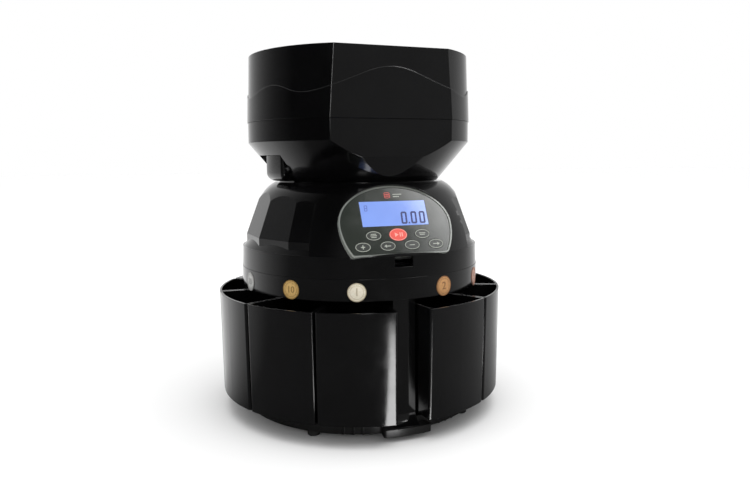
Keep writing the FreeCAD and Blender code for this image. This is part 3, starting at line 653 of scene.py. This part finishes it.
def world_light():
    """White studio; in reflections it is bright behind the machine and dim in front of it."""
    world = bpy.data.worlds.new("studio")
    bpy.context.scene.world = world
    world.use_nodes = True
    tree = world.node_tree
    tree.nodes.clear()
    coords = tree.nodes.new("ShaderNodeTexCoord")
    levels = azimuth_levels(tree, coords.outputs["Generated"], SKY_LEVELS)
    background = tree.nodes.new("ShaderNodeBackground")
    background.inputs["Strength"].default_value = 1.0
    tree.links.new(glossy_switch(tree, (1.0, 1.0, 1.0), levels), background.inputs["Color"])
    output = tree.nodes.new("ShaderNodeOutputWorld")
    tree.links.new(background.outputs["Background"], output.inputs["Surface"])


def floor():
    bpy.ops.mesh.primitive_plane_add(size=FLOOR_SIZE)
    plane = bpy.context.object
    plane.name = "studio_floor"
    mat, tree, shader = new_material("studio_floor")
    shader.inputs["Roughness"].default_value = 0.9
    shader.inputs["Specular IOR Level"].default_value = 0.0
    geometry = tree.nodes.new("ShaderNodeNewGeometry")
    levels = azimuth_levels(tree, geometry.outputs["Position"], FLOOR_LEVELS)
    distance = tree.nodes.new("ShaderNodeVectorMath")
    distance.operation = "LENGTH"
    tree.links.new(geometry.outputs["Position"], distance.inputs[0])
    # Painted shade: the floor is darker near the machine and fades to white further out
    share = remap(tree, distance.outputs["Value"], 0, 1, *FLOOR_SHADE_FADE)
    floor_tone_with_shade = two_tone(tree, share, FLOOR_NEAR_SHADE, FLOOR_FAR, 0.0, 1.0)
    tree.links.new(glossy_switch(tree, floor_tone_with_shade, levels), shader.inputs["Base Color"])
    paint(plane, mat)


def area_light(name, azimuth, distance, height, size, power, target_z=0.2):
    data = bpy.data.lights.new(name, "AREA")
    data.shape = "RECTANGLE"
    data.size, data.size_y = size
    data.energy = power
    light = bpy.data.objects.new(name, data)
    bpy.context.scene.collection.objects.link(light)
    a = math.radians(azimuth)
    light.location = (distance * math.sin(a), -distance * math.cos(a), height)
    aim = Vector((0, 0, target_z)) - light.location
    light.rotation_euler = aim.to_track_quat("-Z", "Y").to_euler()
    light.visible_camera = False
    return light


def gloss_card(name, azimuth, distance, height, size, radiance, target_z=0.2):
    """A card that shows only as a reflection."""
    power = math.pi * size[0] * size[1] * radiance
    card = area_light(name, azimuth, distance, height, size, power, target_z)
    card.visible_diffuse = False
    card.visible_transmission = False
    return card


def floor_card(name, near, far, width, radiance):
    """A card lying on the floor between two points (x, y), showing only as a reflection."""
    start, end = Vector((*near, 0.002)), Vector((*far, 0.002))
    card = gloss_card(name, 0, 1, 1, (width, (end - start).length), radiance)
    card.location = (start + end) / 2
    turn = math.atan2(end.x - start.x, -(end.y - start.y))
    card.rotation_euler = (math.pi, 0, turn)
    return card


def camera():
    data = bpy.data.cameras.new("camera")
    data.lens = CAMERA_LENS
    data.sensor_width = CAMERA_SENSOR
    cam = bpy.data.objects.new("camera", data)
    bpy.context.scene.collection.objects.link(cam)
    turn = Matrix.Rotation(-math.radians(CAMERA_HEADING), 4, "Z")
    tilt = Matrix.Rotation(math.radians(90 - CAMERA_PITCH), 4, "X")
    roll = Matrix.Rotation(math.radians(CAMERA_ROLL), 4, "Z")
    cam.matrix_world = Matrix.Translation(CAMERA_PLACE) @ turn @ tilt @ roll
    bpy.context.scene.camera = cam


world_light()
floor()
top_light = area_light("top_light", azimuth=10, distance=0.5, height=2.2, size=(2.4, 2.4), power=38)
top_light.visible_glossy = False
gloss_card("edge_card", azimuth=-14, distance=2.4, height=0.72, size=(0.5, 0.5), radiance=14.0,
           target_z=0.72)
floor_card("drawer_card", near=(-0.018, -0.175), far=(0.014, -0.60), width=0.030, radiance=15.0)
gloss_card("panel_card", azimuth=44, distance=1.5, height=1.5, size=(0.6, 0.7), radiance=9.0)
camera()
bpy.context.scene.view_settings.view_transform = "Standard"
